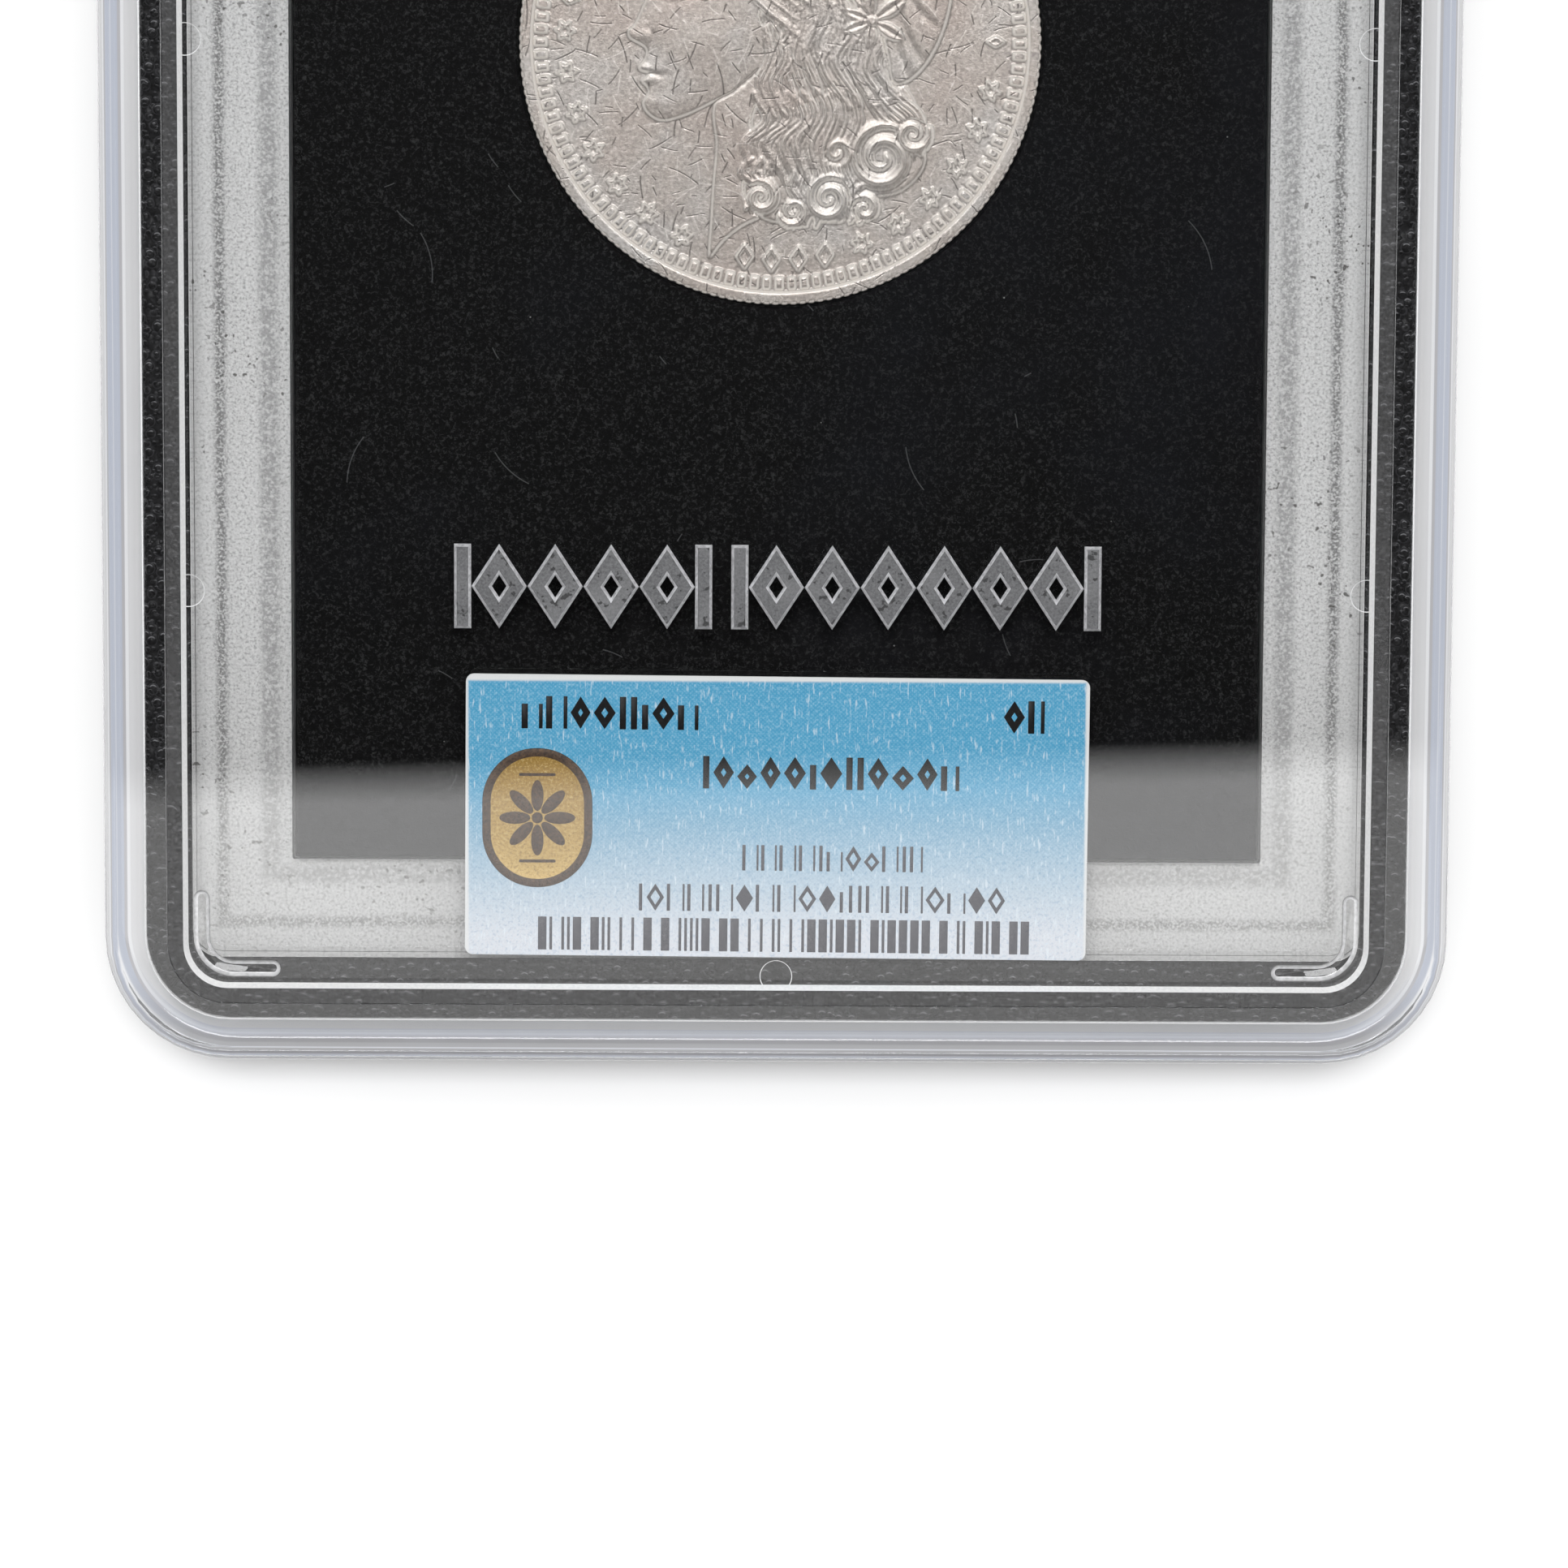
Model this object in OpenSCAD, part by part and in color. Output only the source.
// Graded coin slab: a welded clear outer holder around a foam gasket, an older
// clear display case, its black insert board and one large silver coin.
// The slab lies on its back, front face up. Millimetres, origin under its centre.

/* [Slab] */
// Outer width of the slab
slab_w = 98.8; // [97:0.1:102]
// Outer height of the slab
slab_h = 149.2; // [147:0.1:153]
// Thickness over both stacking ridges
slab_t = 16; // [15.8:0.1:18]
// Outer corner radius
slab_r = 9.2; // [9:0.1:10]
// Thickness of the clear side wall
wall = 2.9; // [2.6:0.1:3.4]
// Thickness of the clear front and back windows
window_t = 1.8; // [1.4:0.1:1.9]
// Height of the stacking ridges
ridge_h = 0.9; // [0.6:0.1:1]
// Radius on the outer edges
edge_r = 1.0; // [0.6:0.1:1.4]

/* [Display case] */
// Width of the inner display case
case_w = 86.0; // [85:0.1:86.6]
// Height of the inner display case
case_h = 134.2; // [132:0.1:135]
// Thickness of the inner display case
case_t = 9.5; // [9:0.1:9.6]
// Corner radius of the inner display case
case_r = 2.0; // [1:0.1:3]
// Width of the black insert board
board_w = 71.1; // [68:0.1:73]
// Height of the black insert board
board_h = 119.7; // [116:0.1:122]
// Thickness of the black insert board
board_t = 2.8; // [2.6:0.1:3.2]

/* [Coin] */
// Coin diameter
coin_d = 38.1; // [36:0.1:39]
// Coin thickness over the rim
coin_t = 2.4; // [2.2:0.1:2.5]

/* [Label and ornament] */
// Width of the grading label
label_w = 45.8; // [40:0.1:48]
// Height of the grading label
label_h = 20.8; // [18:0.1:22]
// Width of one ornament row
ornament_w = 47.4; // [44:0.1:50]
// Height of one ornament row
ornament_h = 6.2; // [5:0.1:7]

/* [Hidden] */
$fn = 64;

// Levels, from the table up
mid_z = slab_t / 2;
back_plate_z = ridge_h;
front_plate_z = slab_t - ridge_h;
seam = 0.12;            // thickness of the fused seam between the slab's shells
case_seam = 0.1;        // thickness of the fused flange between the case's covers
case_z = mid_z - case_t / 2;
case_top = mid_z + case_t / 2;

// Insets of the ridges from the slab's long outer edges
front_ridge_out = 4.75;
front_ridge_in = 5.95;
ridge_bevel = 0.38;
back_ridge_out = 6.6;   // clears the front ridge's bevel, so that slabs nest
back_ridge_in = 8.0;
ridge_edge = 0.15;
ridge_stretch = 0.4;    // both ridges run this much closer to the top and bottom edges

// Weld seam, corner ribs and ejector marks
seam_out = 0.3;
seam_in = 2.65;
rib_inset = 6.3;
rib_t = 1.2;
rib_leg = 6.4;
rib_r = 3.0;
mark_r = 1.2;
mark_t = 0.08;
mark_inset = 6.3;
mark_step = 40;
gasket_gap = 0.05;
gasket_clear = 0.6;     // space kept over and under the foam, where the ribs are

// Fits inside the display case
board_gap = 0.25;       // all round, between the board and its pocket
coin_gap = 0.08;        // radial, between the coin and the board
coin_rim = 1.3;
coin_field = 0.25;      // depth of the field below the rim

// Printed parts
label_t = 0.15;
label_r = 0.6;
label_tilt = -0.35;
label_y = -case_h / 2 + label_h / 2 + label_w / 2 * sin(-label_tilt);
seal_w = 8.1;
seal_h = 10.3;
seal_r = 4.0;
seal_t = 0.03;
seal_x = -17.6;
seal_y = -0.2;
sticker_w = 20;
sticker_h = 12;
sticker_t = 0.1;
sticker_y = -50;

// Raised ornament on the case front
ornament_t = 0.35;
ornament_y = -39.6;
upper_y = [39.6, 50.4];
lozenges = [4, 6];      // in the left and the right group of a row
lozenge_overlap = 1.02; // each lozenge's width over its pitch, so that they join
group_gap = 1.4;
stroke = 1.25;

clear = [0.86, 0.88, 0.9, 0.35];
frosted = [0.76, 0.76, 0.76, 0.8];

// Rectangle with round corners, centred
module rounded(w, h, r) {
    square([w - 2 * r, h], center = true);
    square([w, h - 2 * r], center = true);
    for (x = [-1, 1], y = [-1, 1])
        translate([x * (w / 2 - r), y * (h / 2 - r)]) circle(r);
}

module slab_outline(inset) {
    rounded(slab_w - 2 * inset, slab_h - 2 * inset, max(slab_r - inset, 0.4));
}

// Flat ring between two insets from the slab's edge
module slab_ring(out, in) {
    difference() {
        slab_outline(out);
        slab_outline(in);
    }
}

// Sweeps a profile round the slab. The profile's x runs outwards from the
// centre of the corner arc, so x = slab_r is the slab's outer edge. A stretch
// moves the two short runs outwards.
module swept(stretch = 0) {
    long = slab_h - 2 * slab_r + 2 * stretch;
    wide = slab_w - 2 * slab_r;
    for (turn = [0, 180]) rotate(turn) {
        translate([wide / 2, long / 2, 0]) rotate([90, 0, 0])
            linear_extrude(long) children();
        rotate(90) translate([long / 2, wide / 2, 0]) rotate([90, 0, 0])
            linear_extrude(wide) children();
    }
    for (x = [-1, 1], y = [-1, 1])
        translate([x * wide / 2, y * long / 2, 0])
            rotate(x > 0 ? (y > 0 ? 0 : -90) : (y > 0 ? 90 : 180))
                rotate_extrude(angle = 90) children();
}

// Wall and window edge of one shell in section, window upwards, outer edge round
module shell_section(height) {
    intersection() {
        union() {
            square([slab_r, window_t]);
            translate([slab_r - wall, window_t - height]) square([wall, height]);
        }
        union() {
            translate([0, window_t - height]) square([slab_r, height - edge_r]);
            translate([0, window_t - height]) square([slab_r - edge_r, height]);
            translate([slab_r - edge_r, window_t - edge_r]) circle(edge_r);
        }
    }
}

// Section of a stacking ridge standing on the window
module ridge_section(out, in, bevel) {
    x_out = slab_r - out;
    x_in = slab_r - in;
    polygon([
        [x_out, -0.2], [x_out, ridge_h - ridge_edge],
        [x_out - ridge_edge, ridge_h], [x_in, ridge_h],
        [x_in - bevel, 0], [x_in - bevel, -0.2],
    ]);
}

// L-shaped ribs that hold the display case at its corners
module corner_ribs(t) {
    leg = rib_leg - rib_t / 2;
    w = slab_w / 2 - rib_inset;
    h = slab_h / 2 - rib_inset;
    for (x = [-1, 1], y = [-1, 1])
        mirror([x < 0 ? 1 : 0, 0]) mirror([0, y < 0 ? 1 : 0])
            linear_extrude(t) {
                translate([w - rib_t, h - leg]) square([rib_t, leg - rib_r]);
                translate([w - leg, h - rib_t]) square([leg - rib_r, rib_t]);
                translate([w - rib_t / 2, h - leg]) circle(rib_t / 2);
                translate([w - leg, h - rib_t / 2]) circle(rib_t / 2);
                translate([w - rib_r, h - rib_r]) intersection() {
                    difference() {
                        circle(rib_r);
                        circle(rib_r - rib_t);
                    }
                    square(rib_r);
                }
            }
}

// Low round ejector marks on the inside of a window
module ejector_marks(t) {
    for (x = [-1, 1], k = [-1, 0, 1])
        translate([x * (slab_w / 2 - mark_inset), k * mark_step, 0])
            cylinder(h = t, r = mark_r);
    for (y = [-1, 1])
        translate([0, y * (slab_h / 2 - mark_inset), 0])
            cylinder(h = t, r = mark_r);
}

// One shell, window upwards, with the window's outer face at z = 0
module shell(ridge_out, ridge_in, bevel) {
    height = slab_t / 2 - ridge_h - seam / 2;
    translate([0, 0, -window_t]) swept() shell_section(height);
    swept(ridge_stretch) ridge_section(ridge_out, ridge_in, bevel);
    translate([0, 0, -window_t / 2])
        cube([slab_w - 2 * slab_r + 0.02, slab_h - 2 * slab_r + 0.02, window_t], center = true);
    rib_h = slab_t / 2 - ridge_h - window_t - case_t / 2;
    translate([0, 0, -window_t - rib_h]) corner_ribs(rib_h + 0.05);
    translate([0, 0, -window_t - mark_t]) ejector_marks(mark_t + 0.05);
}

module slab_front_shell() {
    color(clear) translate([0, 0, front_plate_z])
        shell(front_ridge_out, front_ridge_in, ridge_bevel);
}

module slab_back_shell() {
    color(clear) translate([0, 0, back_plate_z]) rotate([180, 0, 0])
        shell(back_ridge_out, back_ridge_in, ridge_edge);
}

module slab_weld_seam() {
    color(clear) translate([0, 0, mid_z - seam / 2])
        linear_extrude(seam) slab_ring(seam_out, seam_in);
}

module foam_gasket() {
    low = back_plate_z + window_t + gasket_clear;
    high = front_plate_z - window_t - gasket_clear;
    color([0.09, 0.09, 0.1]) translate([0, 0, low])
        linear_extrude(high - low) difference() {
            slab_outline(wall + gasket_gap);
            rounded(case_w + 2 * gasket_gap, case_h + 2 * gasket_gap, case_r + gasket_gap);
        }
}

// One cover of the display case, lying face up with its flange at z = 0
module cover() {
    height = case_t / 2 - case_seam / 2;
    pocket = board_t / 2 - case_seam / 2;
    difference() {
        linear_extrude(height) rounded(case_w, case_h, case_r);
        translate([0, 0, pocket / 2 - 1])
            cube([board_w + 2 * board_gap, board_h + 2 * board_gap, pocket + 2], center = true);
    }
}

module case_front_cover() {
    color(clear) translate([0, 0, mid_z + case_seam / 2]) cover();
}

module case_back_cover() {
    color(clear) translate([0, 0, mid_z - case_seam / 2]) rotate([180, 0, 0]) cover();
}

module case_weld_flange() {
    color(frosted) translate([0, 0, mid_z - case_seam / 2])
        linear_extrude(case_seam) difference() {
            rounded(case_w, case_h, case_r);
            square([board_w + 2 * board_gap, board_h + 2 * board_gap], center = true);
        }
}

module insert_board() {
    color([0.05, 0.05, 0.055]) translate([0, 0, mid_z - board_t / 2])
        difference() {
            translate([-board_w / 2, -board_h / 2, 0]) cube([board_w, board_h, board_t]);
            translate([0, 0, -1]) cylinder(h = board_t + 2, r = coin_d / 2 + coin_gap, $fn = 128);
        }
}

// Disc with a raised rim on both sides
module coin() {
    color([0.78, 0.75, 0.71]) translate([0, 0, mid_z])
        rotate_extrude($fn = 128) polygon([
            [0, coin_t / 2 - coin_field], [coin_d / 2 - coin_rim, coin_t / 2 - coin_field],
            [coin_d / 2 - coin_rim, coin_t / 2], [coin_d / 2, coin_t / 2],
            [coin_d / 2, -coin_t / 2], [coin_d / 2 - coin_rim, -coin_t / 2],
            [coin_d / 2 - coin_rim, coin_field - coin_t / 2], [0, coin_field - coin_t / 2],
        ]);
}

// Hollow lozenge, w wide and h high
module lozenge(w, h) {
    slant = stroke * sqrt(w * w + h * h);
    difference() {
        polygon([[w / 2, 0], [0, h / 2], [-w / 2, 0], [0, -h / 2]]);
        polygon([
            [w / 2 - slant / h, 0], [0, h / 2 - slant / w],
            [slant / h - w / 2, 0], [0, slant / w - h / 2],
        ]);
    }
}

// Group of lozenges between two upright bars, its left end at x = 0
module ornament_group(count, pitch) {
    width = count * pitch + 2 * stroke;
    for (k = [0 : count - 1])
        translate([stroke + (k + 0.5) * pitch, 0])
            lozenge(pitch * lozenge_overlap, ornament_h);
    for (x = [stroke / 2, width - stroke / 2])
        translate([x, 0]) square([stroke, ornament_h], center = true);
}

// Row of two groups, as wide as ornament_w
module ornament_row() {
    pitch = (ornament_w - group_gap - 4 * stroke) / (lozenges[0] + lozenges[1]);
    translate([-ornament_w / 2, 0]) ornament_group(lozenges[0], pitch);
    translate([ornament_w / 2 - lozenges[1] * pitch - 2 * stroke, 0])
        ornament_group(lozenges[1], pitch);
}

module raised_row(y) {
    color([0.45, 0.45, 0.46]) translate([0, y, case_top])
        linear_extrude(ornament_t) ornament_row();
}

module upper_ornament() {
    for (y = upper_y) raised_row(y);
}

module lower_ornament() {
    raised_row(ornament_y);
}

module on_label() {
    translate([0, label_y, case_top]) rotate(label_tilt) children();
}

module grade_label() {
    color([0.55, 0.72, 0.83]) on_label()
        linear_extrude(label_t) rounded(label_w, label_h, label_r);
}

module label_seal() {
    color([0.75, 0.6, 0.32]) on_label() translate([seal_x, seal_y, label_t])
        linear_extrude(seal_t) rounded(seal_w, seal_h, seal_r);
}

module rear_sticker() {
    color([0.7, 0.74, 0.78]) translate([0, sticker_y, case_z - sticker_t])
        linear_extrude(sticker_t) rounded(sticker_w, sticker_h, label_r);
}

slab_front_shell();
slab_back_shell();
slab_weld_seam();
foam_gasket();
case_front_cover();
case_back_cover();
case_weld_flange();
insert_board();
coin();
upper_ornament();
lower_ornament();
grade_label();
label_seal();
rear_sticker();
